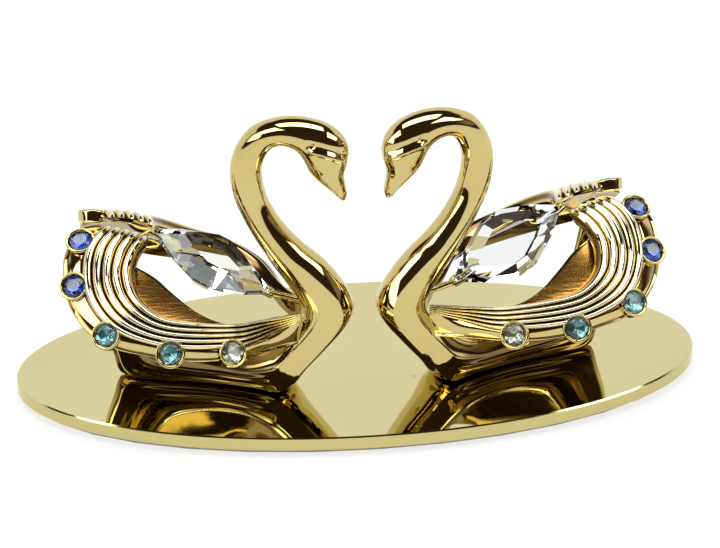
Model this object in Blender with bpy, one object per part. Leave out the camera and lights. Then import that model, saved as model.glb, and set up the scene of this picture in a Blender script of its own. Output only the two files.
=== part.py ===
"""Swan figurine: two gold-plated swans on one oval mirror plate.

Metres, +Z up.  The origin is on the table under the middle of the plate, +X
runs along the plate to the viewer's right and +Y away from the viewer.
Each swan is drawn once in its own frame: s forward along the keel from the
front of the foot, t across (towards the outer side of the wing), z up from
the plate's top.  The right-hand swan is the mirror image of the left one.
"""
import math

import bmesh
import bpy
from mathutils import Matrix, Vector

MM = 0.001

# Plate and the soft pad under it
PLATE_LENGTH = 120.0 * MM
PLATE_DEPTH = 58.0 * MM
PLATE_THICK = 2.5 * MM
PLATE_BEVEL = 0.35 * MM
PLATE_SEGMENTS = 64
PAD_THICK = 1.0 * MM
PAD_INSET = 2.0 * MM

# Clearance kept between two pieces that touch on the real object
GAP = 0.3 * MM

# Where each swan stands: front of its foot, and how far its tail is toed in
SWAN_X = 13.2 * MM
SWAN_Y = -8.7 * MM
TOE = math.radians(16.4)

# Rivets cast on the swan's foot, through the plate
RIVET_D = 2.2 * MM
RIVET_FRONT = -5.0 * MM
RIVET_REAR = -24.0 * MM

# Body casting: sides of a section, and where the crease runs on it
BODY_SIDES = 14
CREASE = -0.74
FLARE = 0.06

# Wings
WING_THICK = 1.1 * MM
WING_BULGE = 1.3 * MM
WING_RIBS = 7
RIBS_ACROSS = 5 / 7
WING_STATIONS = 16
RIB_HEIGHT = 0.75 * MM
RIB_TIP = 0.8 * MM

# Round stones in their cups
STONE_D = 4.0 * MM
STONE_CROWN = 0.75 * MM
STONE_PAVILION = 0.95 * MM
STONE_SIDES = 8
CUP_WALL = 0.42 * MM
CUP_FLOOR = 0.6 * MM
CUP_SIDES = 12
CUP_PLACES = (0.262, 0.437, 0.617, 0.79, 0.93)
CUP_ACROSS = 0.84

# Large navette crystal and the fingers that hold its two ends
CRYSTAL_REAR = Vector((-22.9, 0.0, 27.9)) * MM
CRYSTAL_FRONT = Vector((-3.6, 0.0, 17.9)) * MM
CRYSTAL_WIDTH = 11.7 * MM
CRYSTAL_THICK = 6.4 * MM
CRYSTAL_GIRDLE = 0.6 * MM
TABLE = 0.6
# How far each crystal has rolled about its length from standing on edge
CRYSTAL_ROLL = {-1: math.radians(72.0), 1: math.radians(34.0)}
FINGER_D = 1.1 * MM

DECK = PAD_THICK + GAP + PLATE_THICK
STONE_ROOM = STONE_D / 2 + GAP
CUP_R = STONE_ROOM + CUP_WALL
CUP_DEPTH = STONE_PAVILION + GAP
CUP_BACK = CUP_DEPTH + CUP_FLOOR

# Sections of the body along its spine, in millimetres: the upper or rear
# point (s, z), the lower or front point (s, z), the half width, and how far
# the section has flat sides with a crease near its second point
BODY_SECTIONS = (
    ((-28.6, 26.6), (-31.6, 27.0), 0.7, 0.0),
    ((-27.6, 24.6), (-32.9, 24.6), 1.2, 0.0),
    ((-26.3, 19.0), (-33.4, 18.0), 1.3, 0.2),
    ((-24.6, 13.4), (-32.9, 10.4), 1.5, 0.4),
    ((-22.6, 9.8), (-31.2, 4.3), 1.7, 0.5),
    ((-20.4, 7.6), (-29.1, -0.4), 1.9, 0.4),
    ((-16.5, 6.3), (-21.5, -0.6), 2.1, 0.2),
    ((-12.0, 5.8), (-13.5, -0.6), 2.3, 0.2),
    ((-7.0, 6.2), (-6.0, -0.6), 3.1, 0.3),
    ((-3.0, 8.4), (0.2, -0.3), 3.7, 0.9),
    ((0.0, 11.2), (3.8, 4.1), 3.7, 1.0),
    ((1.7, 13.4), (7.3, 8.4), 3.55, 1.0),
    ((2.4, 15.0), (10.2, 12.3), 3.45, 1.0),
    ((2.2, 16.5), (11.5, 15.4), 3.4, 1.0),
    ((1.2, 18.1), (10.9, 18.0), 3.4, 0.7),
    ((-0.3, 20.3), (9.2, 21.2), 3.4, 0.35),
    ((-2.7, 23.6), (6.2, 24.6), 3.3, 0.15),
    ((-5.0, 27.2), (2.6, 27.5), 3.15, 0.0),
    ((-7.4, 31.5), (-0.8, 31.1), 3.05, 0.0),
    ((-9.3, 36.0), (-3.3, 35.4), 3.0, 0.0),
    ((-10.0, 40.6), (-4.4, 40.0), 2.9, 0.0),
    ((-9.2, 44.8), (-4.0, 43.2), 2.85, 0.0),
    ((-6.5, 49.0), (-2.6, 45.6), 2.85, 0.0),
    ((-2.2, 51.1), (-0.8, 46.4), 2.95, 0.0),
    ((2.3, 51.6), (1.0, 46.0), 3.15, 0.0),
    ((6.5, 50.8), (2.2, 45.0), 3.4, 0.0),
    ((9.3, 49.0), (3.0, 43.6), 3.5, 0.0),
    ((10.6, 46.7), (3.8, 41.9), 3.2, 0.0),
    ((10.5, 43.9), (5.0, 40.4), 2.5, 0.0),
    ((9.9, 41.4), (6.6, 39.1), 1.9, 0.0),
    ((10.1, 39.4), (7.8, 38.1), 1.5, 0.0),
    ((10.4, 37.8), (8.9, 37.1), 1.1, 0.0),
    ((10.1, 36.7), (9.5, 36.6), 0.5, 0.0),
)

# The wing's upper edge round the opening and its lower edge, from the neck
# to the tip: (s, t, z) in millimetres at even steps along the wing
WING_UPPER = (
    (2.9, 2.6, 15.5), (-3.4, 6.4, 15.7), (-8.4, 11.6, 17.0),
    (-14.4, 15.0, 18.8), (-19.6, 15.6, 20.0), (-23.4, 13.8, 22.2),
    (-25.1, 10.2, 24.6), (-25.0, 6.6, 26.1), (-24.0, 3.4, 27.1),
)
WING_LOWER = (
    (2.9, 4.4, 9.6), (-2.3, 9.4, 10.8), (-7.3, 15.3, 12.1),
    (-13.5, 18.3, 12.8), (-21.5, 19.0, 13.6), (-29.6, 17.9, 15.0),
    (-35.8, 12.8, 18.7), (-37.9, 7.0, 24.7), (-35.8, 1.7, 27.9),
)

# Upper edge of the plain leaf inside the wing, and how far down the ribbed
# band it is rooted
WING_LEAF = (
    (2.9, 2.3, 15.2), (-3.6, 5.9, 15.4), (-8.9, 11.0, 17.2),
    (-13.6, 11.6, 18.6), (-18.6, 10.6, 20.9), (-22.4, 8.8, 23.3),
    (-25.0, 6.6, 25.0), (-26.6, 5.0, 26.2), (-27.0, 3.6, 27.0),
)
LEAF_THICK = 0.9 * MM
LEAF_ROOT = 0.62

GOLD = (0.83, 0.66, 0.30, 1.0)
CLEAR = (0.86, 0.89, 0.88, 1.0)
AQUA = (0.16, 0.45, 0.52, 1.0)
BLUE = (0.03, 0.08, 0.45, 1.0)
FELT = (0.05, 0.05, 0.055, 1.0)


def clear_scene():
    for item in list(bpy.data.objects):
        bpy.data.objects.remove(item, do_unlink=True)


def material(name, colour, roughness, metallic, transmission=0.0):
    """A Principled BSDF with the piece's plain colour."""
    mat = bpy.data.materials.new(name)
    mat.use_nodes = True
    shader = mat.node_tree.nodes["Principled BSDF"]
    shader.inputs["Base Color"].default_value = colour
    shader.inputs["Roughness"].default_value = roughness
    shader.inputs["Metallic"].default_value = metallic
    shader.inputs["Transmission Weight"].default_value = transmission
    mat.diffuse_color = colour
    return mat


def new_object(name, bm, mat, angle=40.0):
    """Store a bmesh as a named object, round faces shaded smooth."""
    bmesh.ops.recalc_face_normals(bm, faces=bm.faces)
    mesh = bpy.data.meshes.new(name)
    bm.to_mesh(mesh)
    bm.free()
    mesh.shade_smooth()
    mesh.set_sharp_from_angle(angle=math.radians(angle))
    obj = bpy.data.objects.new(name, mesh)
    bpy.context.scene.collection.objects.link(obj)
    if mat:
        mesh.materials.append(mat)
    return obj


def spline(points, x):
    """A smooth curve through points at even steps, x from 0 to 1."""
    last = len(points) - 1
    at = min(max(x, 0.0), 1.0) * last
    i = min(int(at), last - 1)
    f = at - i
    b, c = Vector(points[i]), Vector(points[i + 1])
    a = Vector(points[i - 1]) if i else b * 2 - c
    d = Vector(points[i + 2]) if i + 2 <= last else c * 2 - b
    return (b * 2 + (c - a) * f + (a * 2 - b * 5 + c * 4 - d) * f * f
            + (b * 3 - a - c * 3 + d) * f ** 3) * 0.5


def skin(bm, rings):
    """Join closed rings of points into one closed body with end caps."""
    loops = [[bm.verts.new(p) for p in ring] for ring in rings]
    for low, high in zip(loops, loops[1:]):
        count = len(low)
        for i in range(count):
            j = (i + 1) % count
            bm.faces.new((low[i], low[j], high[j], high[i]))
    bm.faces.new(list(reversed(loops[0])))
    bm.faces.new(loops[-1])


def rod(bm, start, end, radius, sides=8):
    """A round rod between two points."""
    axis = end - start
    turn = Vector((0, 0, 1)).rotation_difference(axis).to_matrix().to_4x4()
    place = Matrix.Translation((start + end) / 2) @ turn
    bmesh.ops.create_cone(bm, cap_ends=True, segments=sides, radius1=radius,
                          radius2=radius, depth=axis.length, matrix=place)


def boolean(target, tool, operation):
    """Cut with, or add, a hidden helper object."""
    tool.hide_render = True
    tool.display_type = 'WIRE'
    mod = target.modifiers.new(operation.title(), 'BOOLEAN')
    mod.operation = operation
    mod.solver = 'EXACT'
    mod.object = tool


def ellipse(width, depth, z, sides):
    return [Vector((math.cos(a) * width / 2, math.sin(a) * depth / 2, z))
            for a in (2 * math.pi * i / sides for i in range(sides))]


def swan_frame(side):
    """The swan's own frame in the world: -1 is the left swan, 1 the right."""
    turn = Matrix.Rotation(-TOE, 4, 'Z')
    place = Matrix.Translation((-SWAN_X, SWAN_Y, DECK + GAP)) @ turn
    # t is measured towards the viewer's side in the frame, so it is -Y here
    return (Matrix.Scale(-1, 4, (1, 0, 0)) if side > 0 else Matrix()) @ place


def body_ring(section):
    """One closed section of the body, in metres."""
    (s0, z0), (s1, z1), half, edge = section
    top, low = Vector((s0, 0, z0)), Vector((s1, 0, z1))
    centre, reach = (top + low) / 2, (top - low) / 2
    turn = 0.25
    ring = []
    for i in range(BODY_SIDES):
        a = 2 * math.pi * (i + 0.5) / BODY_SIDES
        c, across = math.cos(a), math.sin(a)
        if c < turn:
            f = (turn - c) / (turn - CREASE)
            flat = 1 + FLARE * f if f < 1 else (1 + FLARE) * ((1 + c) / (1 + CREASE)) ** 0.5
            across = across * (1 - edge) + math.copysign(flat, across) * edge
        p = centre + reach * c + Vector((0, half * across, 0))
        p.z = max(p.z, 0.0)
        ring.append(p * MM)
    return ring


def body_mesh():
    bm = bmesh.new()
    skin(bm, [body_ring(section) for section in BODY_SECTIONS])
    return bm


def crystal_axis():
    along = (CRYSTAL_FRONT - CRYSTAL_REAR).normalized()
    up = Vector((-along.z, 0, along.x))
    return along, up


def body_fittings():
    """Rivets under the foot and the fingers that hold the crystal."""
    bm = bmesh.new()
    for s in (RIVET_FRONT, RIVET_REAR):
        rod(bm, Vector((s, 0, -GAP - PLATE_THICK)), Vector((s, 0, 1.5 * MM)),
            RIVET_D / 2, 12)
    along = crystal_axis()[0]
    (s, z), (s_tail, z_tail) = BODY_SECTIONS[13][0], BODY_SECTIONS[1][0]
    neck = Vector((s + 1.5, 0, z)) * MM
    tail = Vector((s_tail - 1.2, 0, z_tail)) * MM
    for tip, root, way in ((CRYSTAL_FRONT, neck, 1), (CRYSTAL_REAR, tail, -1)):
        palm = tip + along * way * (GAP + FINGER_D / 2)
        rod(bm, root, palm + (palm - root).normalized() * 0.2 * MM, FINGER_D / 2)
    return bm


def wing_point(u, v):
    """Middle surface of the wing: u from neck to tip, v from upper edge."""
    upper, lower = spline(WING_UPPER, u) * MM, spline(WING_LOWER, u) * MM
    swell = 4 * v * (1 - v) * WING_BULGE * math.sin(math.pi * min(u * 1.3, 0.5))
    return upper.lerp(lower, v) + wing_out(u, v) * swell


def wing_out(u, v):
    """Outward direction of the wing's flat chord surface."""
    step = 0.02
    here = max(min(u, 1 - step), step)

    def chord(x, y):
        return spline(WING_UPPER, x).lerp(spline(WING_LOWER, x), y)
    run = chord(here + step, v) - chord(here - step, v)
    drop = chord(here, 1) - chord(here, 0)
    return drop.cross(run).normalized()


def rib_place(v, u):
    """Where across the band a rib runs: the ribs close up towards the neck."""
    share = RIBS_ACROSS
    f = min(max(u / 0.26, 0.0), 1.0)
    spread = share * (0.42 + 0.58 * f * f * (3 - 2 * f))
    if v < share:
        return v / share * spread
    return spread + (v - share) / (1 - share) * (1 - spread)


def wing_ring(u, per_rib, inside):
    """A closed section: ribbed outer band, and the plain leaf inside it."""
    steps = WING_RIBS * per_rib
    fade = min(1.0, 0.25 + u * 3)
    open_up = math.sin(math.pi * min(max((u - 0.06) / 0.84, 0.0), 1.0)) ** 0.5
    skin_in = WING_THICK / 2 * fade
    ring = []
    for i in range(steps + 1):
        v = i / steps
        wave = abs(math.sin(math.pi * WING_RIBS * v)) ** 0.7 if v < RIBS_ACROSS else 0.2
        at = rib_place(v, u)
        p = wing_point(u, at) + wing_out(u, at) * (skin_in + RIB_HEIGHT * wave * fade)
        if u >= 1.0:
            p += (wing_point(1, v) - wing_point(0.96, v)).normalized() * RIB_TIP * wave
        ring.append(p)
    edge = spline(WING_LEAF, u) * MM
    root = wing_point(u, LEAF_ROOT) - wing_out(u, LEAF_ROOT) * skin_in
    flat = wing_point(u, 0.3) - wing_out(u, 0.3) * skin_in
    leaf_out = wing_out(u, 0.5)
    for v in (1.0, 0.86):
        ring.append(wing_point(u, v) - wing_out(u, v) * skin_in)
    for i in range(inside + 1):
        f = i / inside
        back = root.lerp(edge, f) - leaf_out * (LEAF_THICK + 0.6 * MM * math.sin(math.pi * f))
        ring.append(flat.lerp(back, open_up) if i else root.lerp(back, open_up)
                    - leaf_out * 0.02 * MM)
    for i in range(inside, 0, -1):
        f = i / inside
        face = root.lerp(edge, f) - leaf_out * 0.6 * MM * math.sin(math.pi * f)
        ring.append(flat.lerp(face, open_up) + leaf_out * 0.05 * MM * (1 - open_up))
    for v in (0.55, 0.28, 0.0):
        ring.append(wing_point(u, v) - wing_out(u, v) * skin_in)
    return ring


def wing_mesh():
    bm = bmesh.new()
    skin(bm, [wing_ring(i / WING_STATIONS, 2, 3) for i in range(WING_STATIONS + 1)])
    return bm


def cup_frame(place):
    """Frame of one stone's cup: origin on the wing, +Z outward."""
    out = wing_out(place, CUP_ACROSS)
    seat = wing_point(place, CUP_ACROSS) + out * (WING_THICK / 2 + 0.6 * MM)
    turn = Vector((0, 0, 1)).rotation_difference(out).to_matrix().to_4x4()
    return Matrix.Translation(seat) @ turn


def cups(radius, low, high):
    bm = bmesh.new()
    for place in CUP_PLACES:
        at = cup_frame(place) @ Matrix.Translation((0, 0, (low + high) / 2))
        bmesh.ops.create_cone(bm, cap_ends=True, segments=CUP_SIDES, radius1=radius,
                              radius2=radius, depth=high - low, matrix=at)
    return bm


def stone_mesh(place):
    """A round cut stone: flat table, crown, girdle and pavilion."""
    bm = bmesh.new()
    r = STONE_D / 2
    rings = []
    for radius, z, twist in ((r * 0.35, -STONE_PAVILION, 0.0), (r, 0.0, 0.0),
                             (r, 0.12 * MM, 0.0), (r * 0.58, STONE_CROWN, 0.5)):
        rings.append([cup_frame(place) @ Vector((
            math.cos(2 * math.pi * (i + twist) / STONE_SIDES) * radius,
            math.sin(2 * math.pi * (i + twist) / STONE_SIDES) * radius, z))
            for i in range(STONE_SIDES)])
    skin(bm, rings)
    return bm


def crystal_mesh(side):
    """Navette crystal: a table on each side and bevelled rims."""
    bm = bmesh.new()
    along, up = crystal_axis()
    roll = Matrix.Rotation(-CRYSTAL_ROLL[side], 3, along)
    wide, deep = roll @ up, roll @ Vector((0, 1, 0))
    middle = (CRYSTAL_REAR + CRYSTAL_FRONT) / 2
    half = (CRYSTAL_FRONT - CRYSTAL_REAR).length / 2

    def outline(scale, y):
        ring = [(1.0, 0.10), (0.68, 0.54), (0.17, 1.0), (-0.17, 1.0), (-0.68, 0.54),
                (-1.0, 0.10)]
        points = ring + [(x, -h) for x, h in reversed(ring)]
        return [middle + along * half * scale * x
                + wide * CRYSTAL_WIDTH / 2 * scale * h + deep * y for x, h in points]
    g, t = CRYSTAL_GIRDLE / 2, CRYSTAL_THICK / 2
    skin(bm, [outline(TABLE, -t), outline(1, -g), outline(1, g), outline(TABLE, t)])
    return bm


def move(bm, frame):
    bmesh.ops.transform(bm, matrix=frame, verts=bm.verts)
    if frame.determinant() < 0:
        bmesh.ops.reverse_faces(bm, faces=bm.faces)
    return bm


def across(bm, side):
    """Wings and stones are drawn on +t; side -1 puts them on -t."""
    if side < 0:
        move(bm, Matrix.Scale(-1, 4, (0, 1, 0)))
    return bm


def base(gold, felt):
    bm = bmesh.new()
    low, high = PAD_THICK + GAP, DECK
    rings = [ellipse(PLATE_LENGTH - 2 * PLATE_BEVEL, PLATE_DEPTH - 2 * PLATE_BEVEL, low,
                     PLATE_SEGMENTS),
             ellipse(PLATE_LENGTH, PLATE_DEPTH, low + PLATE_BEVEL, PLATE_SEGMENTS),
             ellipse(PLATE_LENGTH, PLATE_DEPTH, high - PLATE_BEVEL, PLATE_SEGMENTS),
             ellipse(PLATE_LENGTH - 2 * PLATE_BEVEL, PLATE_DEPTH - 2 * PLATE_BEVEL, high,
                     PLATE_SEGMENTS)]
    skin(bm, rings)
    plate = new_object("oval_base", bm, gold, 30)
    holes = bmesh.new()
    for side in (-1, 1):
        for s in (RIVET_FRONT, RIVET_REAR):
            drill = bmesh.new()
            rod(drill, Vector((s, 0, -PLATE_THICK - 3 * GAP)), Vector((s, 0, PLATE_THICK)),
                RIVET_D / 2 + GAP, 12)
            move(drill, swan_frame(side))
            part = bpy.data.meshes.new("drill")
            drill.to_mesh(part)
            drill.free()
            holes.from_mesh(part)
            bpy.data.meshes.remove(part)
    boolean(plate, new_object("rivet_holes", holes, None), 'DIFFERENCE')
    bm = bmesh.new()
    inset = 2 * PAD_INSET
    skin(bm, [ellipse(PLATE_LENGTH - inset, PLATE_DEPTH - inset, z, PLATE_SEGMENTS // 2)
              for z in (0.0, PAD_THICK)])
    new_object("base_pad", bm, felt, 30)


def swan(name, side, mats):
    frame = swan_frame(side)
    body = new_object(name + "_body", move(body_mesh(), frame), mats["gold"], 50)
    extra = new_object(name + "_fittings", move(body_fittings(), frame), None)
    boolean(body, extra, 'UNION')
    new_object(name + "_crystal", move(crystal_mesh(side), frame), mats["clear"], 5)
    for word, flip in (("near", -1), ("far", 1)):
        wing = new_object("%s_wing_%s" % (name, word), move(across(wing_mesh(), flip), frame),
                          mats["gold"], 50)
        solid = cups(CUP_R, -CUP_BACK, 0.35 * MM)
        hollow = cups(STONE_ROOM, -CUP_DEPTH, 2 * MM)
        boolean(wing, new_object(name + word + "_cups", move(across(solid, flip), frame), None),
                'UNION')
        boolean(wing, new_object(name + word + "_seats", move(across(hollow, flip), frame), None),
                'DIFFERENCE')
        stones = ("clear", "aqua", "aqua", "blue", "blue")
        for i, (place, kind) in enumerate(zip(CUP_PLACES, stones), 1):
            new_object("%s_stone_%s_%d" % (name, word, i),
                       move(across(stone_mesh(place), flip), frame), mats[kind], 5)


def main():
    clear_scene()
    mats = {
        "gold": material("polished_gold", GOLD, 0.06, 1.0),
        "clear": material("clear_crystal", CLEAR, 0.02, 0.0, 0.9),
        "aqua": material("aqua_crystal", AQUA, 0.03, 0.0, 0.5),
        "blue": material("blue_crystal", BLUE, 0.03, 0.0, 0.4),
        "felt": material("black_felt", FELT, 0.95, 0.0),
    }
    base(mats["gold"], mats["felt"])
    swan("swan_left", -1, mats)
    swan("swan_right", 1, mats)


if __name__ == "__main__":
    main()
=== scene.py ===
"""Looks of the swan figurine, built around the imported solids.

Metres, +Z up, the same frame as the solids: +X along the plate to the
viewer's right, +Y away from the viewer.  A swan is drawn once in its own
frame: s forward along the keel, t across, z up from the plate.
"""
import math

import bmesh
import bpy
from bpy.props import FloatProperty, FloatVectorProperty, PointerProperty
from bpy.types import Operator, Panel, PropertyGroup
from mathutils import Matrix, Vector


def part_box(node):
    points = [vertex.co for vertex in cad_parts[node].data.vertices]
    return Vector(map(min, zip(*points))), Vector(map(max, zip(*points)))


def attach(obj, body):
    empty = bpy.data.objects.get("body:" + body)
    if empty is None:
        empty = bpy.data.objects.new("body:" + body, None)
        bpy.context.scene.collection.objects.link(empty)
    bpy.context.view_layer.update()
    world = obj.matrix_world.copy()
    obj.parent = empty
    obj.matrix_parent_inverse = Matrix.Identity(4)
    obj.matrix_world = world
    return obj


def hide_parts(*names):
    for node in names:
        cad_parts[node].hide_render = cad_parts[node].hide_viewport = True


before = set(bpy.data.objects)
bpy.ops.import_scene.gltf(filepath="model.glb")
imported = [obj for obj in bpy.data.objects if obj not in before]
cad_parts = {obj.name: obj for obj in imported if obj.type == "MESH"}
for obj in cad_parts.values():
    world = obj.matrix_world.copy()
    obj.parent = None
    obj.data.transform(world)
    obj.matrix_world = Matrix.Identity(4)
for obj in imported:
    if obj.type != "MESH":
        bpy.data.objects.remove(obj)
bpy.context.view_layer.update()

bl_info = {
    "name": "Swan Figurine",
    "version": (1, 0, 0),
    "blender": (4, 5, 0),
    "location": "View3D > Sidebar > Swans",
    "description": "Pair of gold swans with set stones on an oval mirror plate",
    "category": "Add Mesh",
}

MM = 0.001

# Where each swan stands, as in the solids
SWAN_X = 13.2 * MM
SWAN_Y = -8.7 * MM
SWAN_Z = 4.1 * MM
TOE = math.radians(16.4)

# Sections of the body along its spine, in millimetres: the upper or rear
# point (s, z), the lower or front point (s, z), the half width, and how far
# the section has flat sides with a crease near its second point
BODY_SECTIONS = (
    (-28.6, 26.6, -31.6, 27.0, 0.7, 0.0), (-27.6, 24.6, -32.9, 24.6, 1.2, 0.0),
    (-26.3, 19.0, -33.4, 18.0, 1.3, 0.2), (-24.6, 13.4, -32.9, 10.4, 1.5, 0.4),
    (-22.6, 9.8, -31.2, 4.3, 1.7, 0.5), (-20.4, 7.6, -29.1, -0.4, 1.9, 0.4),
    (-16.5, 6.3, -21.5, -0.6, 2.1, 0.2), (-12.0, 5.8, -13.5, -0.6, 2.3, 0.2),
    (-7.0, 6.2, -6.0, -0.6, 3.4, 0.35), (-3.0, 8.4, 0.2, -0.3, 4.3, 0.95),
    (0.0, 11.2, 3.8, 4.1, 3.7, 1.0), (1.7, 13.4, 7.3, 8.4, 3.55, 1.0),
    (2.4, 15.0, 10.2, 12.3, 3.45, 1.0), (2.2, 16.5, 11.5, 15.4, 3.4, 1.0),
    (1.2, 18.1, 10.9, 18.0, 3.4, 0.7), (-0.3, 20.3, 9.2, 21.2, 3.4, 0.35),
    (-2.7, 23.6, 6.2, 24.6, 3.3, 0.15), (-5.0, 27.2, 2.6, 27.5, 3.15, 0.0),
    (-7.4, 31.5, -0.8, 31.1, 3.05, 0.0), (-9.3, 36.0, -3.3, 35.4, 3.0, 0.0),
    (-10.0, 40.6, -4.4, 40.0, 2.9, 0.0), (-9.2, 44.8, -4.0, 43.2, 2.85, 0.0),
    (-6.5, 49.0, -2.6, 45.6, 2.85, 0.0), (-2.2, 51.1, -0.8, 46.4, 2.95, 0.0),
    (2.3, 51.6, 1.0, 46.0, 3.15, 0.0), (6.5, 50.8, 2.2, 45.0, 3.4, 0.0),
    (9.3, 49.0, 3.0, 43.6, 3.5, 0.0), (10.6, 46.7, 3.8, 41.9, 3.2, 0.0),
    (10.5, 43.9, 5.0, 40.4, 2.5, 0.0), (9.9, 41.4, 6.6, 39.1, 1.9, 0.0),
    (10.1, 39.4, 7.8, 38.1, 1.5, 0.0), (10.4, 37.8, 8.9, 37.1, 1.1, 0.0),
    (10.1, 36.7, 9.5, 36.6, 0.5, 0.0),
)
BODY_SIDES = 132

# The head starts at this section; then the steps between two sections of
# the head and of the rest
HEAD_FROM = 23
HEAD_STEPS, BODY_STEPS = 17, 5

# Where the hull's lines are along the spine, from 0 to 1, and where painted
# shade darkens its foot along s and below which z: where it starts, is full, fades, ends
HULL_RANGE = (0.08, 0.16, 0.23, 0.29)
FOOT_SHADE_RANGE = (-33.0, -29.0, -5.0, 0.0)
FOOT_SHADE_TOP = (4.5, 7.5)

# Flat sides: where they start and where the crease is, as cosines round the
# section, and how much they flare out towards the crease
SIDE_TOP = 0.25
CREASE = -0.74
FLARE = 0.06

# Lines drawn into the head: points (s, z), height and width in millimetres
HEAD_LINES = (
    (((4.4, 48.1), (6.4, 47.8), (8.4, 47.1), (10.1, 46.1)), 0.30, 0.50),
    (((5.0, 46.9), (6.6, 46.6), (8.4, 45.9), (9.5, 45.2)), -0.40, 0.48),
    (((9.9, 44.9), (9.25, 43.2), (8.95, 41.5), (9.25, 39.6), (9.75, 38.0)), -0.22, 0.34),
    (((6.5, 41.5), (7.6, 40.4), (8.9, 38.6), (9.6, 37.4)), -0.24, 0.30),
)
BROW_BEADS = ((4.0, 47.75), (5.0, 47.85))
BEAD_HEIGHT, BEAD_WIDTH = 0.26, 0.34

# They are drawn from these s and z on, and fade towards the middle plane
# between these two distances
LINES_FROM_S, LINES_FROM_Z = 2.0, 36.0
LINES_FADE = (0.3, 1.2)
MIDDLE_STRIP = 0.25

# Lines along the hull's side: place round the section as a cosine, how far
# they stand out as a share of the half width, and their width
HULL_STEPS = ((-0.10, -0.10, 0.14), (-0.45, 0.08, 0.15), (-0.72, -0.08, 0.12))

# Edges of the wing's band and of the leaf inside it, from the neck to the
# feather tips: (s, t, z) in millimetres
WING_UPPER = (
    (2.9, 2.6, 15.5), (-3.4, 6.4, 15.7), (-8.4, 11.6, 17.0),
    (-14.4, 15.0, 18.8), (-19.6, 15.6, 20.0), (-23.4, 13.8, 22.2),
    (-25.1, 10.2, 24.6), (-25.0, 6.6, 26.1), (-24.0, 3.4, 27.1),
)
WING_LOWER = (
    (2.9, 2.4, 9.6), (-2.3, 8.6, 10.6), (-7.3, 15.3, 12.1),
    (-13.5, 18.3, 12.8), (-21.5, 19.0, 13.6), (-29.6, 17.9, 15.0),
    (-35.8, 12.8, 18.7), (-37.9, 7.0, 24.7), (-35.8, 1.7, 27.9),
)
WING_LEAF = (
    (2.9, 2.3, 15.2), (-3.6, 5.9, 15.4), (-8.9, 11.0, 17.2),
    (-13.6, 11.5, 18.8), (-18.3, 10.4, 21.5), (-21.9, 8.4, 24.2),
    (-24.7, 6.4, 25.8), (-26.4, 4.9, 26.6), (-27.0, 3.6, 27.1),
)
WING_STATIONS = 132
WING_BULGE = 1.3 * MM

# From here to the tip the stations lie closer and closer
TIP_FROM = 0.9

# The band is as wide as seven ribs, of which five are drawn and the rest is
# plain with a lip: its height, its place and its width
RIBS = 7
PLAIN_FROM = 5
RIB_STEPS = 11
RIB_ROUNDING = 0.62
LIP_HEIGHT, LIP_PLACE, LIP_WIDTH = 0.62, 0.93, 0.075

# Ribs close up to this share of their width at the neck, and are spread out
# from here on
RIBS_AT_NECK = 0.42
RIBS_SPREAD = 0.26

# The leaf: where across the band it is rooted when open and when it lies
# flat, its thickness, its bow and the steps from root to edge
LEAF_ROOT, LEAF_FLAT = 0.62, 0.3
LEAF_THICK = 0.9 * MM
LEAF_BOW = 0.6 * MM
LEAF_STEPS = 9

# Places across the back of the band, below the leaf and above it
BACK_BELOW = (1.0, 0.93, 0.86, 0.74)
BACK_ABOVE = (0.55, 0.42, 0.28, 0.14, 0.04, 0.0)

# What the gold finish reads in the layer "groove": brown of the inner faces
# where it is high, painted shade in the lower part of its range, bare in between
TONE_LEAF, TONE_BAND_INSIDE = 0.95, 0.8
TONE_BARE = 0.48
PAINTED_GROOVE_SHADE = 0.38
PAINTED_FOOT_SHADE, PAINTED_BACK_SHADE = 0.17, 0.13

# Cups and stones: places along the wing, place across the band, and how the
# seat cut through the ribs differs from the stone
CUP_PLACES = (0.262, 0.437, 0.617, 0.79, 0.93)
CUP_ACROSS = 0.84
CUP_LIFT = 0.6 * MM
SEAT_GAP, SEAT_LIFT, SEAT_DEPTH = 0.25 * MM, 0.45 * MM, 3.2 * MM
ROUND_STEPS = 40
STONE_KINDS = ("clear", "aqua", "aqua", "blue", "blue")
STONE_GAP = 0.06 * MM

# A cup's outside and inside: share of the outer or inner radius, and height
# in millimetres; the rolled rim lies between them
CUP_OUTSIDE = ((0.0, -1.85), (0.72, -1.8), (0.97, -1.45), (1.0, -0.6), (1.02, 0.1))
CUP_INSIDE = ((0.995, 0.02), (0.9, -0.25), (0.55, -1.0), (0.0, -1.15))
RIM_HEIGHT = 0.18 * MM
RIM_STEPS = 6

# Each stone is turned a little differently: by its place and by its swan
SPIN_BY_PLACE, SPIN_BY_SWAN = 0.37, 0.5

# Rings of a round stone's corners: share of its radius, height in
# millimetres, number of corners, and their turn in steps
CROWN_RINGS = ((0.60, 0.62, 8, 0.0), (0.82, 0.38, 8, 0.5), (1.0, 0.06, 16, 0.0),
               (1.0, -0.08, 16, 0.0))
FOIL_RINGS = ((0.97, -0.12, 16, 0.5), (0.55, -0.62, 8, 0.5), (0.16, -1.02, 8, 0.0),
              (0.0, -1.12, 1, 0.0))
FOIL_LID = -0.13 * MM
FOIL_THICK = 0.03 * MM
FACET_ANGLE = math.radians(1.5)

CRYSTAL_REAR = Vector((-22.9, 0.0, 27.9)) * MM
CRYSTAL_FRONT = Vector((-3.6, 0.0, 17.9)) * MM
CRYSTAL_ROLL = {-1: math.radians(72.0), 1: math.radians(34.0)}

# Corners of the long crystal along its girdle, as shares of half its length
# and half its width; the tables are the same outline, smaller
CRYSTAL_GIRDLE = ((1.0, 0.10), (0.68, 0.54), (0.17, 1.0), (-0.17, 1.0), (-0.68, 0.54),
                  (-1.0, 0.10))
TABLE_SHARE = 0.6
GIRDLE_HALF = 0.30 * MM

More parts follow.
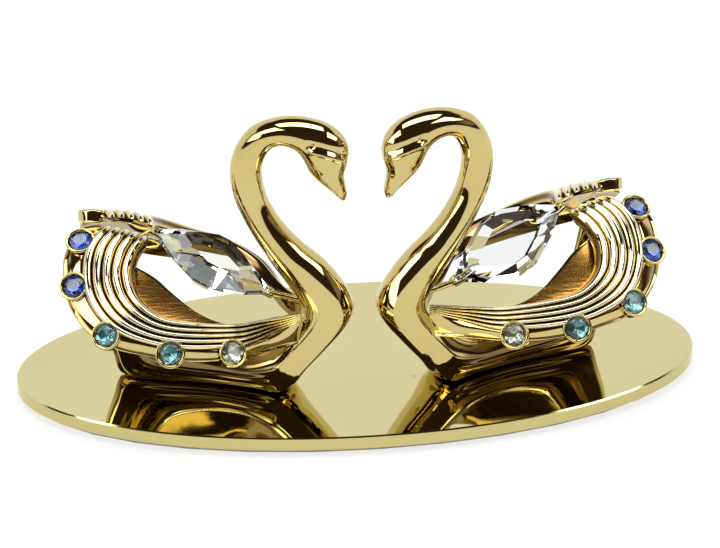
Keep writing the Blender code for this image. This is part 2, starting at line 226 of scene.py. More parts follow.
# What holds the crystal: its end, the foot of the rod on the body, and the
# way out along the crystal
CRYSTAL_HOLDERS = ((CRYSTAL_FRONT, Vector((3.7, 0, 16.5)) * MM, 1),
                   (CRYSTAL_REAR, Vector((-28.8, 0, 24.6)) * MM, -1))
ROD_RADII = (0.8 * MM, 0.5 * MM, 0.55 * MM, 0.4 * MM)
ROD_GAP, ROD_END = 0.85 * MM, 0.5 * MM
CLAW_RADII = (0.45 * MM, 0.4 * MM, 0.28 * MM)
CLAW_REACH, CLAW_BEND, CLAW_SPREAD = 0.9 * MM, 1.0 * MM, 1.5 * MM

# The two swans, and the two wings of each, with their words in names
SIDES = ((-1, "left"), (1, "right"))
WINGS = ((-1, "near"), (1, "far"))

# The plate's corners, and how far below its top the duller rim is full and
# where it starts
PLATE_SIDES = 220
RIM_TINT_DEPTH, RIM_TINT_TOP = 0.26 * MM, 0.02 * MM

# Depth of the bumps of each finish, then the paler gold painted on the ribs'
# crests as a highlight, and the foil behind the clear stones
GOLD_RIPPLE = 0.02 * MM
PLATE_RIPPLE = 0.03 * MM
FELT_RIPPLE = 0.12 * MM
CREST_HIGHLIGHT = (0.90, 0.85, 0.66)
CLEAR_FOIL = (0.48, 0.46, 0.36)

# Brightness of the world: the white room, the panels beside and above, what
# lights soft surfaces, and what is left where it is dark, for metal and glass
ROOM_WHITE, BESIDE_LIGHT, ABOVE_LIGHT = 0.97, 4.0, 5.0
SOFT_LIGHT, DARK_LIGHT, DARK_IN_GLASS = 0.85, 0.04, 0.22
DARK_TINT, GLASS_TINT = (0.95, 0.60, 0.40, 1), (0.9, 0.95, 1.0, 1)

# The floor, and the panel above that lights what is soft
FLOOR_SIZE, FLOOR_GLOW = 4.0, 0.72
FLOOR_TONES = (0.93, 0.93, 0.93, 1), (0.95, 0.95, 0.95, 1)
PANEL_PLACE = (0, -0.05, 0.75)
PANEL_SIZE = (0.7, 0.5)
PANEL_POWER = 2.2

# The camera, from the photograph's side and height
CAMERA_AZIMUTH = math.radians(-7.78)
CAMERA_LIFT = math.radians(27.0)
CAMERA_FAR = 1.0
CAMERA_TARGET = (0.0006, 0.0, 0.02028)
CAMERA_LENS, CAMERA_SENSOR = 285.45, 36.0


class SwanSizes(PropertyGroup):
    """Sizes of the pieces, in metres."""
    plate_length: FloatProperty(
        name="Plate Length", description="Long axis of the oval plate",
        default=120 * MM, min=0.05, max=0.3, subtype='DISTANCE', unit='LENGTH')
    plate_depth: FloatProperty(
        name="Plate Depth", description="Short axis of the oval plate",
        default=58 * MM, min=0.02, max=0.2, subtype='DISTANCE', unit='LENGTH')
    plate_thick: FloatProperty(
        name="Plate Thickness", description="Thickness of the oval plate",
        default=2.5 * MM, min=0.001, max=0.01, subtype='DISTANCE', unit='LENGTH')
    plate_edge: FloatProperty(
        name="Plate Edge", description="Width of the bevel on the plate's edges",
        default=0.24 * MM, min=0.0001, max=0.002, subtype='DISTANCE', unit='LENGTH')
    wing_thick: FloatProperty(
        name="Wing Thickness", description="Thickness of the ribbed band",
        default=1.1 * MM, min=0.0005, max=0.003, subtype='DISTANCE', unit='LENGTH')
    rib_height: FloatProperty(
        name="Rib Height", description="How far the wing's ribs stand out",
        default=0.85 * MM, min=0.0, max=0.002, subtype='DISTANCE', unit='LENGTH')
    stone: FloatProperty(
        name="Stone Diameter", description="Diameter of the round stones",
        default=4.0 * MM, min=0.002, max=0.006, subtype='DISTANCE', unit='LENGTH')
    cup_wall: FloatProperty(
        name="Cup Wall", description="Wall of the cups that hold the stones",
        default=0.5 * MM, min=0.0002, max=0.001, subtype='DISTANCE', unit='LENGTH')
    crystal_width: FloatProperty(
        name="Crystal Width", description="Width of the long crystal",
        default=11.7 * MM, min=0.005, max=0.02, subtype='DISTANCE', unit='LENGTH')
    crystal_thick: FloatProperty(
        name="Crystal Thickness", description="Thickness of the long crystal",
        default=6.4 * MM, min=0.002, max=0.01, subtype='DISTANCE', unit='LENGTH')


class SwanColours(PropertyGroup):
    """Colours of the finishes, as linear values."""
    gold: FloatVectorProperty(
        name="Gold", description="Polished plating of swans and wings",
        default=(0.615, 0.505, 0.215), size=3, subtype='COLOR', min=0, max=1)
    plate: FloatVectorProperty(
        name="Plate Gold", description="Mirror-bright plating of the oval plate",
        default=(0.67, 0.615, 0.315), size=3, subtype='COLOR', min=0, max=1)
    clear: FloatVectorProperty(
        name="Clear", description="Clear crystal",
        default=(0.91, 0.935, 0.92), size=3, subtype='COLOR', min=0, max=1)
    aqua: FloatVectorProperty(
        name="Aqua", description="Aqua stones",
        default=(0.25, 0.43, 0.43), size=3, subtype='COLOR', min=0, max=1)
    blue: FloatVectorProperty(
        name="Blue", description="Deep blue stones",
        default=(0.012, 0.085, 0.32), size=3, subtype='COLOR', min=0, max=1)
    felt: FloatVectorProperty(
        name="Felt", description="Pad under the plate",
        default=(0.40, 0.38, 0.34), size=3, subtype='COLOR', min=0, max=1)


# Curves

def spline(points, x):
    """A smooth curve through points at even steps, x from 0 to 1."""
    last = len(points) - 1
    at = min(max(x, 0.0), 1.0) * last
    i = min(int(at), last - 1)
    f = at - i
    b, c = Vector(points[i]), Vector(points[i + 1])
    a = Vector(points[i - 1]) if i else b * 2 - c
    d = Vector(points[i + 2]) if i + 2 <= last else c * 2 - b
    return (b * 2 + (c - a) * f + (a * 2 - b * 5 + c * 4 - d) * f * f
            + (b * 3 - a - c * 3 + d) * f ** 3) * 0.5


def smooth(low, high, x):
    """0 below low and 1 above high, with a soft start and end."""
    f = min(max((x - low) / (high - low), 0.0), 1.0)
    return f * f * (3 - 2 * f)


def window(x, start, full, fading, end):
    """1 between full and fading, and 0 outside start and end."""
    return smooth(start, full, x) * (1 - smooth(fading, end, x))


def bell(x, middle, width):
    """1 at the middle, falling off to both sides."""
    return math.exp(-((x - middle) / width) ** 2)


def line_distance(p, points):
    """Distance in the plane from p to a line through points."""
    best = 1e9
    for a, b in zip(points, points[1:]):
        a, b = Vector(a), Vector(b)
        run = b - a
        f = min(max((p - a).dot(run) / run.length_squared, 0.0), 1.0)
        best = min(best, (p - a - run * f).length)
    return best


# Mesh helpers

def loop_edges(bm, loop):
    """The edges of a closed loop of vertices."""
    return [bm.edges.get(pair) for pair in zip(loop, loop[1:] + loop[:1])]


def sweep(bm, rings):
    """Extrude a closed loop of vertices through rings of points."""
    loop = list(bmesh.ops.create_circle(bm, segments=len(rings[0]), radius=1.0)["verts"])
    for v, p in zip(loop, rings[0]):
        v.co = p
    first = loop
    for ring in rings[1:]:
        made = bmesh.ops.extrude_edge_only(bm, edges=loop_edges(bm, loop))["geom"]
        fresh = {g for g in made if isinstance(g, bmesh.types.BMVert)}
        loop = [next(e.other_vert(v) for e in v.link_edges if e.other_vert(v) in fresh)
                for v in loop]
        for v, p in zip(loop, ring):
            v.co = p
    return first, loop


def close_ends(bm, *loops):
    """Fill closed loops of vertices with a face each."""
    for loop in loops:
        bmesh.ops.edgeloop_fill(bm, edges=loop_edges(bm, loop))


def lathe(bm, profile, place):
    """Turn a profile of (radius, height) points about the Z axis of place."""
    verts = [bm.verts.new(Vector((r, 0, z))) for r, z in profile]
    edges = [bm.edges.new(pair) for pair in zip(verts, verts[1:])]
    bmesh.ops.spin(bm, geom=verts + edges, cent=(0, 0, 0), axis=(0, 0, 1), dvec=(0, 0, 0),
                   angle=2 * math.pi, steps=ROUND_STEPS, use_merge=True)
    turned = set(verts)
    grow = list(verts)
    while grow:
        v = grow.pop()
        for e in v.link_edges:
            w = e.other_vert(v)
            if w not in turned:
                turned.add(w)
                grow.append(w)
    bmesh.ops.transform(bm, matrix=place, verts=list(turned))


def rod(bm, points, radii, sides=20):
    """A round rod through points, with its own radius at each."""
    rings = []
    for i, (p, r) in enumerate(zip(points, radii)):
        run = points[min(i + 1, len(points) - 1)] - points[max(i - 1, 0)]
        turn = Vector((0, 0, 1)).rotation_difference(run).to_matrix()
        rings.append([p + turn @ Vector((math.cos(a) * r, math.sin(a) * r, 0))
                      for a in (2 * math.pi * k / sides for k in range(sides))])
    close_ends(bm, *sweep(bm, rings))


def to_mesh(name, bm):
    """Turn a bmesh into a mesh and free it."""
    mesh = bpy.data.meshes.new(name)
    bm.to_mesh(mesh)
    bm.free()
    return mesh


def finish_mesh(name, bm, angle=40.0):
    """A mesh that shades smooth, but for edges sharper than angle."""
    bmesh.ops.remove_doubles(bm, verts=bm.verts, dist=1e-6)
    bmesh.ops.recalc_face_normals(bm, faces=bm.faces)
    mesh = to_mesh(name, bm)
    mesh.shade_smooth()
    mesh.set_sharp_from_angle(angle=math.radians(angle))
    return mesh


def join_facets(bm):
    """Make one facet of faces that lie in one plane."""
    bmesh.ops.dissolve_limit(bm, angle_limit=FACET_ANGLE, verts=bm.verts, edges=bm.edges)


def facet_mesh(name, bm):
    """A mesh of flat facets."""
    bmesh.ops.recalc_face_normals(bm, faces=bm.faces)
    mesh = to_mesh(name, bm)
    mesh.shade_flat()
    return mesh


def place_piece(name, mesh, mat, nodes, matrix=None):
    """Put a copy of a mesh in the world as one finished piece."""
    data = mesh.copy()
    data.name = name
    if matrix is not None:
        data.transform(matrix)
        if matrix.determinant() < 0:
            data.flip_normals()
    data.materials.clear()
    data.materials.append(mat)
    obj = bpy.data.objects.new(name, data)
    bpy.context.scene.collection.objects.link(obj)
    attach(obj, "root")
    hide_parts(*nodes)


def swan_frame(side):
    """From a swan's own frame to the figurine's; side 1 mirrors it."""
    place = Matrix.Translation((-SWAN_X, SWAN_Y, SWAN_Z)) @ Matrix.Rotation(-TOE, 4, 'Z')
    return (Matrix.Scale(-1, 4, (1, 0, 0)) if side > 0 else Matrix()) @ place


def across(side):
    """Wings and stones are drawn on +t; side -1 puts them on -t."""
    return Matrix.Scale(-1, 4, (0, 1, 0)) if side < 0 else Matrix()


# Shader maths

class Wire:
    """A shader socket that takes part in Python expressions."""

    def __init__(self, tree, socket):
        self.tree, self.socket = tree, socket

    def math(self, kind, other, flip=False):
        """The result of a maths node, with other first if flip."""
        node = self.tree.nodes.new("ShaderNodeMath")
        node.operation = kind
        pair = (other, self) if flip else (self, other)
        for slot, value in zip(node.inputs, pair):
            if isinstance(value, Wire):
                self.tree.links.new(value.socket, slot)
            elif value is not None:
                slot.default_value = value
        return Wire(self.tree, node.outputs[0])

    def at_least(self, other):
        """The larger of the two."""
        return self.math('MAXIMUM', other)

    def __abs__(self):
        return self.math('ABSOLUTE', None)

    def __add__(self, other):
        return self.math('ADD', other)

    def __radd__(self, other):
        return self.math('ADD', other, True)

    def __sub__(self, other):
        return self.math('SUBTRACT', other)

    def __rsub__(self, other):
        return self.math('SUBTRACT', other, True)

    def __mul__(self, other):
        return self.math('MULTIPLY', other)

    def __truediv__(self, other):
        return self.math('DIVIDE', other)


class Finish:
    """A node tree being wired: a material's, or the world's."""

    def __init__(self, owner):
        owner.use_nodes = True
        self.owner = owner
        self.tree = owner.node_tree
        self.tree.nodes.clear()

    def node(self, kind, settings=None, inputs=None, out=0):
        """Add a node, set and wired, and give one of its outputs."""
        made = self.tree.nodes.new("ShaderNode" + kind)
        for key, value in (settings or {}).items():
            setattr(made, key, value)
        for key, value in (inputs or {}).items():
            if isinstance(value, Wire):
                self.tree.links.new(value.socket, made.inputs[key])
            else:
                made.inputs[key].default_value = value
        return Wire(self.tree, made.outputs[out]) if len(made.outputs) else None

    def split(self, where):
        """The three parts of a vector."""
        made = self.tree.nodes.new("ShaderNodeSeparateXYZ")
        self.tree.links.new(where.socket, made.inputs[0])
        return [Wire(self.tree, part) for part in made.outputs]

    def clamp_step(self, value, low, high):
        """0 below low and 1 above high, smoothly."""
        return self.node("MapRange", {"interpolation_type": 'SMOOTHSTEP'},
                         {0: value, 1: low, 2: high, 3: 0.0, 4: 1.0})

    def fade(self, value, low, high):
        """1 below low and 0 above high, smoothly."""
        return 1.0 - self.clamp_step(value, low, high)

    def mix(self, fac, one, two):
        """Mix two colours."""
        return self.node("Mix", {"data_type": 'RGBA'}, {0: fac, 6: one, 7: two}, out=2)

    def bump(self, height, distance, strength=1.0):
        """The normal of a surface with these heights."""
        return self.node("Bump", None, {"Strength": strength, "Distance": distance,
                                        "Height": height})

    def close(self, shader, kind="OutputMaterial"):
        """Wire a shader to the output."""
        self.node(kind, None, {"Surface": shader})

    def principled(self, colour, inputs):
        """Close the material; colour is what plain views show."""
        self.close(self.node("BsdfPrincipled", None, inputs))
        self.owner.diffuse_color = rgba(colour)
        return self.owner


def rgba(colour, scale=1.0):
    """A colour with alpha, times one number or one for each part."""
    shares = scale if isinstance(scale, tuple) else (scale,) * 3
    return tuple(min(c * share, 1.0) for c, share in zip(colour, shares)) + (1.0,)


def object_noise(fin, scale, detail=2.0, rough=0.5):
    """Noise that stays with the piece."""
    where = fin.node("TexCoord", out=3)
    return fin.node("TexNoise", None, {"Vector": where, "Scale": scale, "Detail": detail,
                                       "Roughness": rough})


def streaked_noise(fin, turn, scale):
    """Noise drawn out into streaks, finest along the largest scale."""
    where = fin.node("TexCoord", out=3)
    comb = fin.node("Mapping", None, {"Vector": where, "Rotation": turn, "Scale": scale})
    return fin.node("TexNoise", None, {"Vector": comb, "Scale": 1.0, "Detail": 3.0})


def polished_gold(name, colour):
    """Plated castings: tone drift, haze and ripple, brown where it is hollow; painted shade and
    painted highlight.
    """
    fin = Finish(bpy.data.materials.new(name))
    drift = object_noise(fin, 55.0)
    fine = object_noise(fin, 900.0, 3.0, 0.6)
    smear = object_noise(fin, 160.0, 4.0, 0.65)
    streak = streaked_noise(fin, (0.3, 0.5, 0.4), (220.0, 220.0, 2400.0))
    depth = fin.node("Attribute", {"attribute_name": "groove"}, out=2)
    crest = fin.node("Attribute", {"attribute_name": "crest"}, out=2)
    inner = fin.clamp_step(depth, 0.5, 0.72)
    # Painted shade where "groove" is low: the ribs' grooves, the hull's foot and the wing's back
    shade = fin.clamp_step(depth, 0.02, 0.22) * fin.fade(depth, 0.40, 0.46)
    tone = fin.mix(fin.clamp_step(drift, 0.3, 0.7), rgba(colour),
                   rgba(colour, (0.985, 0.955, 0.88)))
    # Painted highlight: paler gold on the ribs' crests
    tone = fin.mix(crest * 0.75, tone, rgba(CREST_HIGHLIGHT))
    # Painted shade: dark brown
    tone = fin.mix(shade * 0.92, tone, rgba(colour, (0.20, 0.11, 0.07)))
    brown = fin.mix(streak, rgba(colour, (0.55, 0.26, 0.10)), rgba(colour, (1.35, 0.86, 0.40)))
    tone = fin.mix(inner * 0.88, tone, brown)
    rough = fin.clamp_step(smear, 0.45, 0.75) * 0.03 + 0.022 + fine * 0.012
    rough = rough + inner * 0.24 + shade * 0.10
    height = object_noise(fin, 260.0) + fine * 0.10 + streak * inner * 3.0
    return fin.principled(colour, {"Base Color": tone, "Roughness": rough, "Metallic": 1.0,
                                   "Normal": fin.bump(height, GOLD_RIPPLE)})


def mirror_plate(name, colour):
    """The plate's mirror plating, with a few pits and faint wipe marks."""
    fin = Finish(bpy.data.materials.new(name))
    where = fin.node("TexCoord", out=3)
    pits = fin.node("TexVoronoi", {"feature": 'F1'}, {"Vector": where, "Scale": 210.0,
                                                      "Randomness": 1.0})
    speck = fin.fade(pits, 0.035, 0.075) * fin.clamp_step(object_noise(fin, 90.0, 0.0), 0.60, 0.64)
    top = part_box("oval_base")[1][2]
    rim = fin.fade(fin.split(where)[2], top - RIM_TINT_DEPTH, top - RIM_TINT_TOP)
    tone = fin.mix(fin.clamp_step(object_noise(fin, 22.0), 0.35, 0.65), rgba(colour),
                   rgba(colour, (0.985, 0.965, 0.93)))
    tone = fin.mix(speck * 0.7, tone, rgba(colour, (0.4, 0.3, 0.2)))
    tone = fin.mix(rim * 0.8, tone, rgba(colour, (0.86, 0.80, 0.62)))
    wipe = streaked_noise(fin, (0, 0, 0.5), (30.0, 700.0, 30.0))
    sand = object_noise(fin, 1400.0)
    rough = fin.clamp_step(wipe, 0.55, 0.75) * 0.025 + 0.03 + speck * 0.3 + rim * 0.12
    height = object_noise(fin, 38.0, 1.0) + speck * -0.15 + sand * rim * 0.25
    return fin.principled(colour, {"Base Color": tone, "Roughness": rough, "Metallic": 1.0,
                                   "Normal": fin.bump(height, PLATE_RIPPLE)})


def cut_glass(name, colour, clouded, shine=0.5):
    """Cut crystal: see-through, with a faint haze of handling."""
    fin = Finish(bpy.data.materials.new(name))
    cloud = object_noise(fin, 420.0)
    tone = fin.mix(fin.clamp_step(cloud, 0.35, 0.7), rgba(colour), rgba(colour, clouded))
    rough = fin.clamp_step(object_noise(fin, 1500.0), 0.55, 0.8) * 0.03 + 0.005
    return fin.principled(colour, {
        "Base Color": tone, "Roughness": rough, "IOR": 1.58, "Specular IOR Level": shine,
        "Transmission Weight": 1.0})


def backing_foil(name, colour):
    """Silvered facets seen through a coloured stone."""
    fin = Finish(bpy.data.materials.new(name))
    patch = object_noise(fin, 700.0, 1.0)
    tone = fin.mix(fin.clamp_step(patch, 0.35, 0.65), rgba(colour, 0.75), rgba(colour, 1.3))
    return fin.principled(colour, {"Base Color": tone, "Roughness": 0.06 + patch * 0.05,
                                   "Metallic": 1.0})


def soft_felt(name, colour):
    """Felt: short fibres in tufts."""
    fin = Finish(bpy.data.materials.new(name))
    fibre = object_noise(fin, 5200.0, 4.0, 0.7)
    tuft = object_noise(fin, 900.0, 3.0)
    tone = fin.mix(fin.clamp_step(fibre, 0.35, 0.7), rgba(colour, 0.7), rgba(colour, 1.7))
    bump = fin.bump(fibre + tuft * 0.6, FELT_RIPPLE, 0.8)
    return fin.principled(colour, {"Base Color": tone, "Roughness": 0.95, "Normal": bump,
                                   "Sheen Weight": 0.4})


def finish_material(kind):
    """The material of a slot, made once."""
    name = "finish_" + kind
    found = bpy.data.materials.get(name)
    if found:
        return found
    colours = bpy.context.scene.swan_colours
    if kind == "gold":
        return polished_gold(name, colours.gold)
    if kind == "plate":
        return mirror_plate(name, colours.plate)
    if kind == "clear_foil":
        return backing_foil(name, CLEAR_FOIL)
    if kind.endswith("_foil"):
        return backing_foil(name, getattr(colours, kind.removesuffix("_foil")))
    if kind == "clear":
        return cut_glass(name, colours.clear, 0.97)
    if kind in ("aqua", "blue"):
        tint = [0.3 + 0.7 * c ** 0.5 for c in getattr(colours, kind)]
        return cut_glass(name, tint, 0.95, 0.22)
    return soft_felt(name, colours.felt)


# Base

class OvalPlateAdd(Operator):
    """Oval plate with bevelled edges, and the felt under it."""
    bl_idname = "swan_figurine.plate_add"
    bl_label = "Oval Plate"

    def execute(self, context):
        sizes = context.scene.swan_sizes
        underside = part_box("oval_base")[0][2]
        bm = bmesh.new()
        bmesh.ops.create_circle(bm, cap_ends=True, segments=PLATE_SIDES, radius=0.5)
        bmesh.ops.scale(bm, vec=(sizes.plate_length, sizes.plate_depth, 1.0), verts=bm.verts)
        bmesh.ops.translate(bm, vec=(0, 0, underside), verts=bm.verts)
        made = bmesh.ops.extrude_face_region(bm, geom=list(bm.faces))["geom"]
        lifted = [g for g in made if isinstance(g, bmesh.types.BMVert)]
        bmesh.ops.translate(bm, vec=(0, 0, sizes.plate_thick), verts=lifted)
        bmesh.ops.recalc_face_normals(bm, faces=bm.faces)
        rims = [e for e in bm.edges if abs(e.verts[0].co.z - e.verts[1].co.z) < 1e-6]
        bmesh.ops.bevel(bm, geom=rims, offset=sizes.plate_edge, segments=1, profile=0.5,
                        affect='EDGES', material=-1)
        mesh = finish_mesh("oval_plate", bm, 35)
        place_piece("oval_plate", mesh, finish_material("plate"), ["oval_base"])
        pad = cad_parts["base_pad"]
        pad.data.materials.clear()
        pad.data.materials.append(finish_material("felt"))
        return {'FINISHED'}


# Bodies

def body_ring(x):
    """One section of the body, as points round it; x runs from 0 to 1."""
    s0, z0, s1, z1, half, edge = spline(BODY_SECTIONS, x)
    top, low = Vector((s0, 0, z0)), Vector((s1, 0, z1))
    centre, reach = (top + low) / 2, (top - low) / 2
    edge = min(max(edge, 0.0), 1.0)
    hull = window(x, *HULL_RANGE)
    ring = []
    for i in range(BODY_SIDES):
        a = 2 * math.pi * (i + 0.5) / BODY_SIDES
        c, out = math.cos(a), math.sin(a)
        if c < SIDE_TOP:
            f = (SIDE_TOP - c) / (SIDE_TOP - CREASE)
            flat = 1 + FLARE * f if f < 1 else (1 + FLARE) * ((1 + c) / (1 + CREASE)) ** 0.5
            out = out * (1 - edge) + math.copysign(flat, out) * edge
        if hull:
            for place, push, width in HULL_STEPS:
                out += math.copysign(push * bell(c, place, width), out) * hull
        p = centre + reach * c + Vector((0, half * out, 0))
        p.z = max(p.z, 0.0)
        ring.append(p * MM)
    return ring


def carve_head(bm):
    """Brow, eye hollow, bill roll and mouth, pushed along the surface."""
    bm.normal_update()
    moves = []
    for v in bm.verts:
        s, t, z = v.co / MM
        if s < LINES_FROM_S or z < LINES_FROM_Z or abs(t) < MIDDLE_STRIP:
            continue
        here = Vector((s, z))
        push = 0.0
        for points, depth, width in HEAD_LINES:
            gap = line_distance(here, points)
            if gap < width * 3:
                push += depth * bell(gap, 0.0, width)
        for bead in BROW_BEADS:
            push += BEAD_HEIGHT * bell((here - Vector(bead)).length, 0.0, BEAD_WIDTH)
        if push:
            moves.append((v, v.normal * push * smooth(*LINES_FADE, abs(t)) * MM))
    for v, shift in moves:
        v.co += shift
    bmesh.ops.smooth_vert(bm, verts=[v for v, shift in moves], factor=0.35, use_axis_x=True,
                          use_axis_y=True, use_axis_z=True)


def hold_crystal(bm):
    """The two rods that reach the crystal's ends, with two claws each."""
    along = (CRYSTAL_FRONT - CRYSTAL_REAR).normalized()
    for tip, foot, way in CRYSTAL_HOLDERS:
        palm = tip + along * way * ROD_GAP
        rod(bm, [foot, foot.lerp(palm, 0.5), palm, palm - along * way * ROD_END], ROD_RADII)
        for t in (-1, 1):
            bend = palm + Vector((0, t * CLAW_BEND, 0))
            grip = tip - along * way * CLAW_REACH + Vector((0, t * CLAW_SPREAD, 0))
            rod(bm, [palm, bend, grip], CLAW_RADII, 12)


def body_mesh():
    """Hull, breast, neck, head and tail in one, and what holds the crystal."""
    bm = bmesh.new()
    last = len(BODY_SECTIONS) - 1
    places = []
    for i in range(last):
        steps = HEAD_STEPS if i >= HEAD_FROM else BODY_STEPS
        places += [(i + k / steps) / last for k in range(steps)]
    close_ends(bm, *sweep(bm, [body_ring(x) for x in places + [1.0]]))
    carve_head(bm)
    # Painted shade on the hull's foot, darker near the plate, kept in the layer "groove"
    layer = bm.verts.layers.float.new("groove")
    for v in bm.verts:
        foot = window(v.co.x / MM, *FOOT_SHADE_RANGE) * (1 - smooth(*FOOT_SHADE_TOP, v.co.z / MM))
        v[layer] = PAINTED_FOOT_SHADE * foot
    hold_crystal(bm)
    return finish_mesh("swan_body", bm, 32)


class SwanBodiesAdd(Operator):
    """The two body castings: hull, breast, neck, head and tail."""
    bl_idname = "swan_figurine.bodies_add"
    bl_label = "Swan Bodies"

    def execute(self, context):
        mesh = body_mesh()
        for side, word in SIDES:
            place_piece(word + "_swan_body", mesh, finish_material("gold"),
                        ["swan_%s_body" % word], swan_frame(side))
        return {'FINISHED'}


# Wings

def wing_out(u, v):
    """The way out of the band at a place along it and across it."""
    step = 0.02
    here = max(min(u, 1 - step), step)

    def chord(x, y):
        return spline(WING_UPPER, x).lerp(spline(WING_LOWER, x), y)
    run = chord(here + step, v) - chord(here - step, v)
    drop = chord(here, 1) - chord(here, 0)
    return drop.cross(run).normalized()


def wing_point(u, v):
    """A point in the middle of the band; u along it, v across it."""
    upper, lower = spline(WING_UPPER, u) * MM, spline(WING_LOWER, u) * MM
    swell = 4 * v * (1 - v) * WING_BULGE * math.sin(math.pi * min(u * 1.3, 0.5))
    return upper.lerp(lower, v) + wing_out(u, v) * swell


def rib_wave(v):
    """Height of the ribs across the band, and how deep in a groove v is."""
    at = v * RIBS
    if at < PLAIN_FROM:
        wave = abs(math.sin(math.pi * at)) ** RIB_ROUNDING
        return wave, (1 - wave) ** 2
    f = (at - PLAIN_FROM) / (RIBS - PLAIN_FROM)
    lip = LIP_HEIGHT * bell(f, LIP_PLACE, LIP_WIDTH)
    wave = 0.10 + 0.12 * math.sin(math.pi * f) + lip - 0.1 * bell(f, 0.0, 0.05)
    return wave, max(bell(f, 0.0, 0.06), 0.5 * bell(f, 0.78, 0.06))


def rib_place(v, u):
    """Where across the band a rib runs: the ribs close up towards the neck."""
    share = PLAIN_FROM / RIBS
    spread = share * (RIBS_AT_NECK + (1 - RIBS_AT_NECK) * smooth(0.0, RIBS_SPREAD, u))
    if v < share:
        return v / share * spread
    return spread + (v - share) / (1 - share) * (1 - spread)


def wing_ring(u, sizes):
    """A closed section: ribbed outer band and the plain leaf inside it.

    Gives its points and their "groove" (painted shade or inner brown) and "crest" (painted
    highlight).
    """
    tip = smooth(0.93, 1.0, u)
    rounding = math.sqrt(max(1 - tip * tip, 0.0)) * 0.92 + 0.08
    open_up = math.sin(math.pi * min(max((u - 0.06) / 0.84, 0.0), 1.0)) ** 0.5
    skin = sizes.wing_thick / 2 * min(1.0, 0.25 + u * 3)
    rib = sizes.rib_height * smooth(-0.02, 0.16, u)
    here = min(u, 0.99)
    run = (wing_point(here, 0.5) - wing_point(here - 0.03, 0.5)).normalized()
    ring, deep, crest = [], [], []

    def inside(v, shift=0.0):
        return wing_point(u, v) - wing_out(u, v) * skin * rounding - run * shift

    for i in range(RIBS * RIB_STEPS + 1):
        v = i / (RIBS * RIB_STEPS)
        wave, groove = rib_wave(v)
        at = rib_place(v, u)
        p = wing_point(u, at) + wing_out(u, at) * (skin + rib * wave) * rounding
        if tip:
            plain = max(v * RIBS - PLAIN_FROM, 0.0) / (RIBS - PLAIN_FROM)
            p += run * (1.5 * wave * (1 - plain) - 2.0 * smooth(0.0, 0.6, plain)) * MM * tip
        ring.append(p)
        # Painted shade in the grooves between the ribs
        deep.append(groove * smooth(0.03, 0.15, u) * PAINTED_GROOVE_SHADE)
        # Painted highlight along the ribs' crests
        ribbed = v < PLAIN_FROM / RIBS
        crest.append(smooth(0.62, 0.97, wave) * smooth(0.05, 0.25, u) if ribbed else 0.0)
    # The band's back below the leaf, with painted shade
    for v in BACK_BELOW:
        ring.append(inside(v, 2.0 * MM * tip * smooth(0.62, 0.9, v)))
        deep.append(PAINTED_BACK_SHADE)
    edge = spline(WING_LEAF, u) * MM
    root = wing_point(u, LEAF_ROOT) - wing_out(u, LEAF_ROOT) * skin
    flat = wing_point(u, LEAF_FLAT) - wing_out(u, LEAF_FLAT) * skin
    leaf_out = wing_out(u, 0.5)
    # The leaf's back, with painted shade
    for i in range(LEAF_STEPS + 1):
        f = i / LEAF_STEPS
        thick = LEAF_THICK * (1 - 0.45 * f) + LEAF_BOW * math.sin(math.pi * f)
        back = root.lerp(edge, f) - leaf_out * thick
        if i:
            ring.append(flat.lerp(back, open_up))
        else:
            ring.append(root.lerp(back, open_up) - leaf_out * 0.02 * MM)
        deep.append(PAINTED_BACK_SHADE)
    for i in range(LEAF_STEPS, 0, -1):
        f = i / LEAF_STEPS
        face = root.lerp(edge, f) - leaf_out * LEAF_BOW * math.sin(math.pi * f)
        ring.append(flat.lerp(face, open_up) + leaf_out * 0.05 * MM * (1 - open_up))
        deep.append(TONE_LEAF if f < 0.95 else TONE_BARE)
    for v in BACK_ABOVE:
        ring.append(inside(v))
        deep.append(TONE_BAND_INSIDE if v > 0.1 else TONE_BARE)
    crest += [0.0] * (len(ring) - len(crest))
    return ring, deep, crest


def cup_frame(place, sizes):
    """Where a cup sits on the band, with +Z out of it."""
    out = wing_out(place, CUP_ACROSS)
    seat = wing_point(place, CUP_ACROSS) + out * (sizes.wing_thick / 2 + CUP_LIFT)
    turn = Vector((0, 0, 1)).rotation_difference(out).to_matrix().to_4x4()
    return Matrix.Translation(seat) @ turn


def cup_profile(sizes):
    """Cup with a rolled rim and a ledge, as (radius, height) points."""
    inner = sizes.stone / 2 + STONE_GAP
    wall = sizes.cup_wall
    outer = inner + wall
    points = [(outer * share, z * MM) for share, z in CUP_OUTSIDE]
    start = points[-1][0]
    for k in range(RIM_STEPS + 1):
        a = math.pi * k / RIM_STEPS
        points.append((start - wall * 0.55 * (1 - math.cos(a)),
                       RIM_HEIGHT + wall * 0.6 * math.sin(a)))
    return points + [(inner * share, z * MM) for share, z in CUP_INSIDE]


def wing_band(sizes):
    """The band and its leaf, swept from neck to tip, with their painted shade, painted highlight
    and inner brown.
    """
    bm = bmesh.new()
    rings, depths, crests = [], [], []
    for i in range(WING_STATIONS + 1):
        u = i / WING_STATIONS
        if u >= TIP_FROM:
            tip = 1 - TIP_FROM
            u = TIP_FROM + tip * math.sin((u - TIP_FROM) / tip * math.pi / 2)
        ring, deep, crest = wing_ring(u, sizes)
        rings.append(ring)
        depths += deep
        crests += crest
    # Layers for painted shade and inner brown, and for painted highlight
    groove = bm.verts.layers.float.new("groove")
    bright = bm.verts.layers.float.new("crest")
    close_ends(bm, *sweep(bm, rings))
    bm.verts.ensure_lookup_table()
    for v, depth, crest in zip(bm.verts, depths, crests):
        v[groove] = depth
        v[bright] = crest
    return finish_mesh("wing_band", bm, 38)


